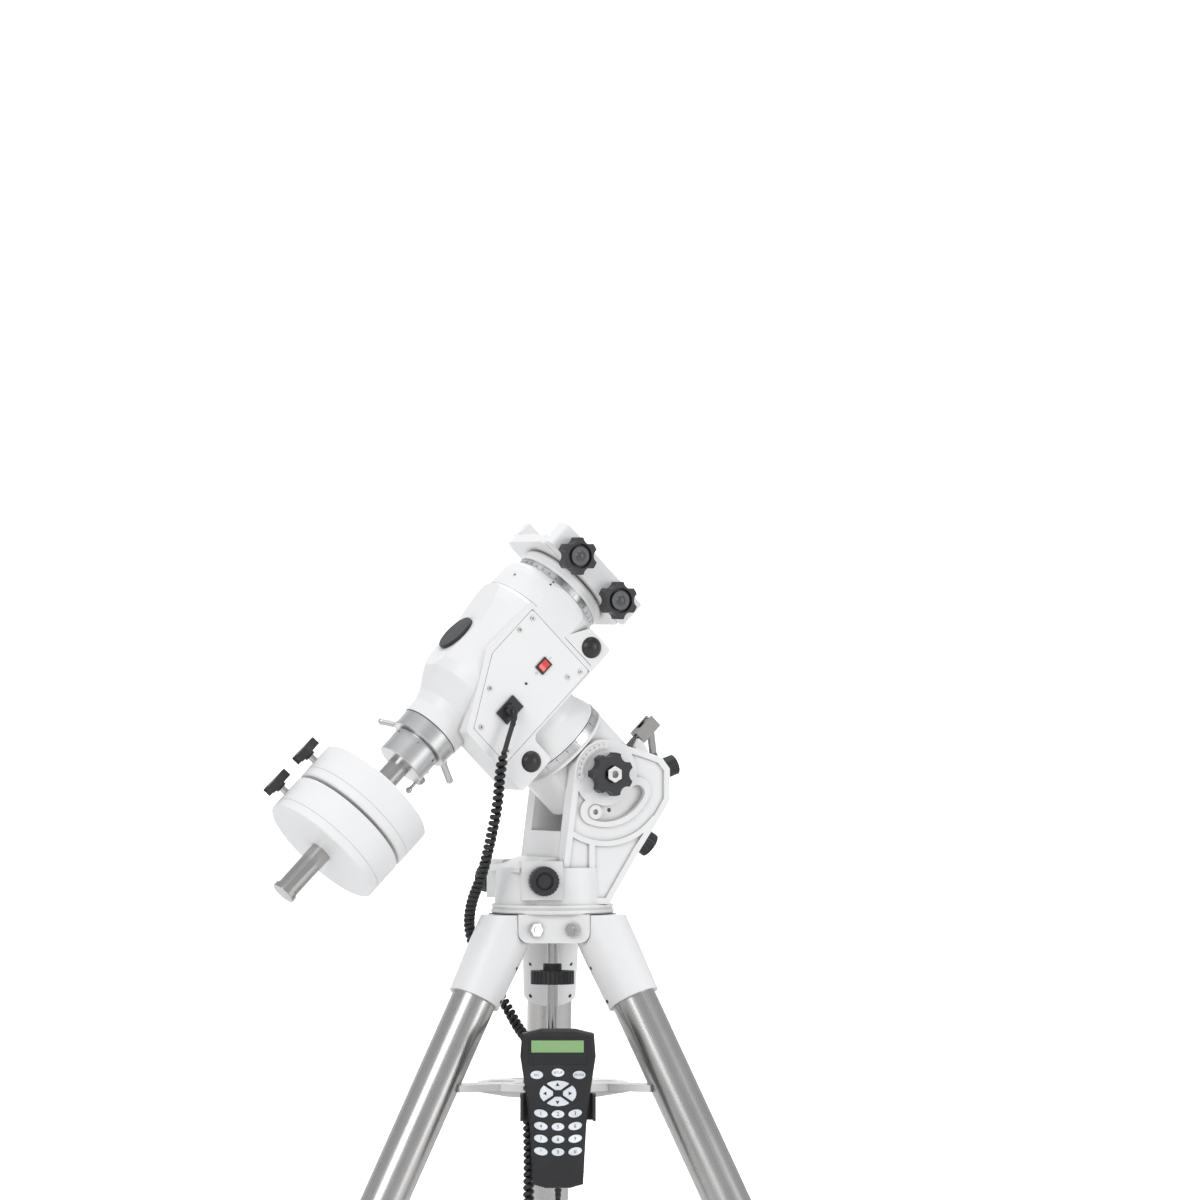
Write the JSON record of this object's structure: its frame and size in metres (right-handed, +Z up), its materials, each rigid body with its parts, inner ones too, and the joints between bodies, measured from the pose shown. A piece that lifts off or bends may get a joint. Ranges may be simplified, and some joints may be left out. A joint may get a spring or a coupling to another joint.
{
  "type": "equatorial mount",
  "caption": "Motorised equatorial mount head on a tubular steel tripod, with counterweights on their shaft, a dovetail saddle and a wired hand controller.",
  "frame": {"origin": "on the floor, under the azimuth axis", "axes": "+Z up; +X away from the celestial pole; the polar axis leans towards -X; +Y is the side away from the control panel"},
  "size_m": [0.772, 0.8275, 1.1976],
  "materials": {
    "white_enamel": "semi-gloss powder coat",
    "weight_enamel": "satin enamel over cast iron",
    "black_plastic": "fine grain",
    "polished_steel": "lengthwise polish",
    "machined_aluminium": "fine turned",
    "chrome": "bright",
    "red_rocker": "gloss",
    "controller_shell": "coarse grain",
    "display_window": "gloss",
    "white_keys": "satin",
    "cord_jacket": "satin"
  },
  "bodies": {
    "tripod": {"tripod_hub": "white_enamel", "hub_bolts": "chrome", "leg_sockets": "white_enamel", "leg_tubes": "polished_steel", "leg_clamps": "white_enamel", "spreader_tray": "white_enamel", "controller_cradle": "black_plastic", "curly_cord": "cord_jacket"},
    "leg_lower_1": {"leg_1_lower": "polished_steel"},
    "leg_lower_2": {"leg_2_lower": "polished_steel"},
    "leg_lower_3": {"leg_3_lower": "polished_steel"},
    "leg_knob_1": {"leg_1_lock_knob": "black_plastic"},
    "leg_knob_2": {"leg_2_lock_knob": "black_plastic"},
    "leg_knob_3": {"leg_3_lock_knob": "black_plastic"},
    "rod": {"centre_rod": "chrome", "rod_knob": "black_plastic"},
    "tray_knob": {"tray_knob": "black_plastic"},
    "base": {"fork_base": "white_enamel", "latitude_scales": "white_enamel", "guide_bolts": "white_enamel"},
    "azimuth_screw_near": {"azimuth_knob_near": "black_plastic"},
    "azimuth_screw_far": {"azimuth_knob_far": "black_plastic"},
    "rear_knob_upper": {"rear_knob_upper": "black_plastic"},
    "rear_knob_lower": {"rear_knob_lower": "black_plastic"},
    "altitude_screw": {"altitude_screw": "chrome"},
    "crank": {"crank_handle": "chrome"},
    "ra_base": {"ra_housing": "white_enamel", "altitude_nuts": "chrome", "ra_setting_circle": "machined_aluminium"},
    "star_near": {"altitude_star_knob_near": "black_plastic"},
    "star_far": {"altitude_star_knob_far": "black_plastic"},
    "ra_head": {"ra_head": "white_enamel", "ra_shaft": "polished_steel", "polar_scope": "black_plastic", "control_panel": "white_enamel", "panel_screws": "chrome", "blanking_caps": "black_plastic", "panel_sockets": "black_plastic"},
    "polar_cap": {"polar_cap": "black_plastic"},
    "power_switch": {"power_switch": "red_rocker"},
    "dec": {"dec_shaft": "polished_steel", "dec_setting_circle": "machined_aluminium", "saddle": "white_enamel", "shaft_collar": "machined_aluminium", "counterweight_shaft": "polished_steel"},
    "dec_clutch": {"dec_clutch_ring": "machined_aluminium"},
    "collar_screw": {"collar_screw": "chrome"},
    "saddle_jaw": {"saddle_jaw": "white_enamel"},
    "saddle_knob_1": {"saddle_knob_1": "black_plastic"},
    "saddle_knob_2": {"saddle_knob_2": "black_plastic"},
    "weight_1": {"counterweight_1": "weight_enamel"},
    "weight_2": {"counterweight_2": "weight_enamel"},
    "thumbscrew_1": {"weight_thumbscrew_1": "black_plastic"},
    "thumbscrew_2": {"weight_thumbscrew_2": "black_plastic"},
    "controller": {"controller_case": "controller_shell", "controller_window": "display_window"},
    "keys_function": {"keys_function": "white_keys"},
    "keys_arrow": {"keys_arrow": "white_keys"},
    "keys_number": {"keys_number": "white_keys"}
  },
  "joints": [
    {"name": "leg_1_extend", "type": "slide", "parent": "tripod", "child": "leg_lower_1", "axis": [-0.4627, -0.0585, -0.8846], "range_m": [0, 0.4]},
    {"name": "leg_1_lock_turn", "type": "hinge", "parent": "tripod", "child": "leg_knob_1", "pos_m": [-0.42097, -0.05318, 0.14156], "axis": [-0.8776, -0.1109, 0.4664], "continuous": true},
    {"name": "leg_2_extend", "type": "slide", "parent": "tripod", "child": "leg_lower_2", "axis": [0.282, -0.3715, -0.8846], "range_m": [0, 0.4]},
    {"name": "leg_2_lock_turn", "type": "hinge", "parent": "tripod", "child": "leg_knob_2", "pos_m": [0.25654, -0.33798, 0.14156], "axis": [0.5348, -0.7046, 0.4664], "continuous": true},
    {"name": "leg_3_extend", "type": "slide", "parent": "tripod", "child": "leg_lower_3", "axis": [0.1807, 0.4299, -0.8846], "range_m": [0, 0.4]},
    {"name": "leg_3_lock_turn", "type": "hinge", "parent": "tripod", "child": "leg_knob_3", "pos_m": [0.16443, 0.39116, 0.14156], "axis": [0.3428, 0.8155, 0.4664], "continuous": true},
    {"name": "rod_turn", "type": "hinge", "parent": "tripod", "child": "rod", "pos_m": [0, 0, 0.69], "axis": [0, 0, 1], "continuous": true},
    {"name": "tray_knob_turn", "type": "hinge", "parent": "tripod", "child": "tray_knob", "pos_m": [0, 0, 0.54], "axis": [0, 0, 1], "continuous": true},
    {"name": "azimuth", "type": "hinge", "parent": "tripod", "child": "base", "pos_m": [0, 0, 0.76], "axis": [0, 0, 1], "range_deg": [-6, 6]},
    {"name": "azimuth_knob_near_turn", "type": "hinge", "parent": "base", "child": "azimuth_screw_near", "pos_m": [-0.04163, -0.06657, 0.798], "axis": [-0.309, -0.9511, 0], "continuous": true},
    {"name": "azimuth_knob_far_turn", "type": "hinge", "parent": "base", "child": "azimuth_screw_far", "pos_m": [-0.04163, 0.06657, 0.798], "axis": [-0.309, 0.9511, 0], "continuous": true},
    {"name": "rear_knob_upper_turn", "type": "hinge", "parent": "base", "child": "rear_knob_upper", "pos_m": [0.1383, 0, 0.9205], "axis": [0.9404, 0, 0.3401], "continuous": true},
    {"name": "rear_knob_lower_turn", "type": "hinge", "parent": "base", "child": "rear_knob_lower", "pos_m": [0.109, 0, 0.842], "axis": [0.829, 0, -0.5593], "continuous": true},
    {"name": "altitude", "type": "hinge", "parent": "base", "child": "ra_base", "pos_m": [0.03894, 0, 0.91656], "axis": [0, 1, 0], "range_deg": [-28, 24]},
    {"name": "altitude_screw_turn", "type": "hinge", "parent": "base", "child": "altitude_screw", "pos_m": [0.101, 0, 0.951], "axis": [0.7071, 0, 0.7071], "continuous": true},
    {"name": "crank_fold", "type": "hinge", "parent": "altitude_screw", "child": "crank", "pos_m": [0.1208, 0, 0.9708], "axis": [0, 1, 0], "range_deg": [-120, 4]},
    {"name": "star_knob_near_turn", "type": "hinge", "parent": "ra_base", "child": "star_near", "pos_m": [0.03894, -0.07, 0.91656], "axis": [0, 1, 0], "continuous": true},
    {"name": "star_knob_far_turn", "type": "hinge", "parent": "ra_base", "child": "star_far", "pos_m": [0.03894, 0.07, 0.91656], "axis": [0, 1, 0], "continuous": true},
    {"name": "ra_axis", "type": "hinge", "parent": "ra_base", "child": "ra_head", "pos_m": [-0.0795, 0, 1.035], "axis": [-0.7071, 0, 0.7071], "continuous": true, "deforming": ["curly_cord"]},
    {"name": "polar_cap_pull", "type": "slide", "parent": "ra_head", "child": "polar_cap", "axis": [-0.7071, 0, 0.7071], "range_m": [0, 0.02]},
    {"name": "power_rocker", "type": "hinge", "parent": "ra_head", "child": "power_switch", "pos_m": [-0.03707, -0.056, 1.03783], "axis": [-0.7071, 0, 0.7071], "range_deg": [0, 8]},
    {"name": "dec_axis", "type": "hinge", "parent": "ra_head", "child": "dec", "pos_m": [-0.0795, 0, 1.035], "axis": [-0.7071, 0, -0.7071], "continuous": true},
    {"name": "dec_clutch_turn", "type": "hinge", "parent": "dec", "child": "dec_clutch", "pos_m": [-0.15728, 0, 0.95722], "axis": [-0.7071, 0, -0.7071], "range_deg": [-25, 25]},
    {"name": "collar_screw_turn", "type": "hinge", "parent": "dec", "child": "collar_screw", "pos_m": [-0.16056, 0.01431, 0.91665], "axis": [0.6214, 0.4772, -0.6214], "continuous": true},
    {"name": "saddle_jaw_slide", "type": "slide", "parent": "dec", "child": "saddle_jaw", "axis": [0, -1, 0], "range_m": [0, 0.012]},
    {"name": "saddle_knob_1_turn", "type": "hinge", "parent": "saddle_jaw", "child": "saddle_knob_1", "pos_m": [-0.00384, -0.066, 1.16016], "axis": [0, -1, 0], "continuous": true},
    {"name": "saddle_knob_2_turn", "type": "hinge", "parent": "saddle_jaw", "child": "saddle_knob_2", "pos_m": [0.04566, -0.066, 1.11066], "axis": [0, -1, 0], "continuous": true},
    {"name": "weight_1_slide", "type": "slide", "parent": "dec", "child": "weight_1", "axis": [-0.7071, 0, -0.7071], "range_m": [-0.028, 0]},
    {"name": "weight_2_slide", "type": "slide", "parent": "dec", "child": "weight_2", "axis": [-0.7071, 0, -0.7071], "range_m": [0, 0.054]},
    {"name": "thumbscrew_1_turn", "type": "hinge", "parent": "weight_1", "child": "thumbscrew_1", "pos_m": [-0.28677, 0.01935, 0.93751], "axis": [-0.6861, 0.2419, 0.6861], "continuous": true},
    {"name": "thumbscrew_2_turn", "type": "hinge", "parent": "weight_2", "child": "thumbscrew_2", "pos_m": [-0.32142, 0.01935, 0.90286], "axis": [-0.6861, 0.2419, 0.6861], "continuous": true},
    {"name": "controller_lift", "type": "slide", "parent": "tripod", "child": "controller", "axis": [0, 0, 1], "range_m": [0, 0.1]},
    {"name": "keys_function_press", "type": "slide", "parent": "controller", "child": "keys_function", "axis": [0.4163, 0.9092, 0], "range_m": [0, 0.0012], "stiffness_N_per_m": 800},
    {"name": "keys_arrow_press", "type": "slide", "parent": "controller", "child": "keys_arrow", "axis": [0.4163, 0.9092, 0], "range_m": [0, 0.0012], "stiffness_N_per_m": 800},
    {"name": "keys_number_press", "type": "slide", "parent": "controller", "child": "keys_number", "axis": [0.4163, 0.9092, 0], "range_m": [0, 0.0012], "stiffness_N_per_m": 800}
  ]
}
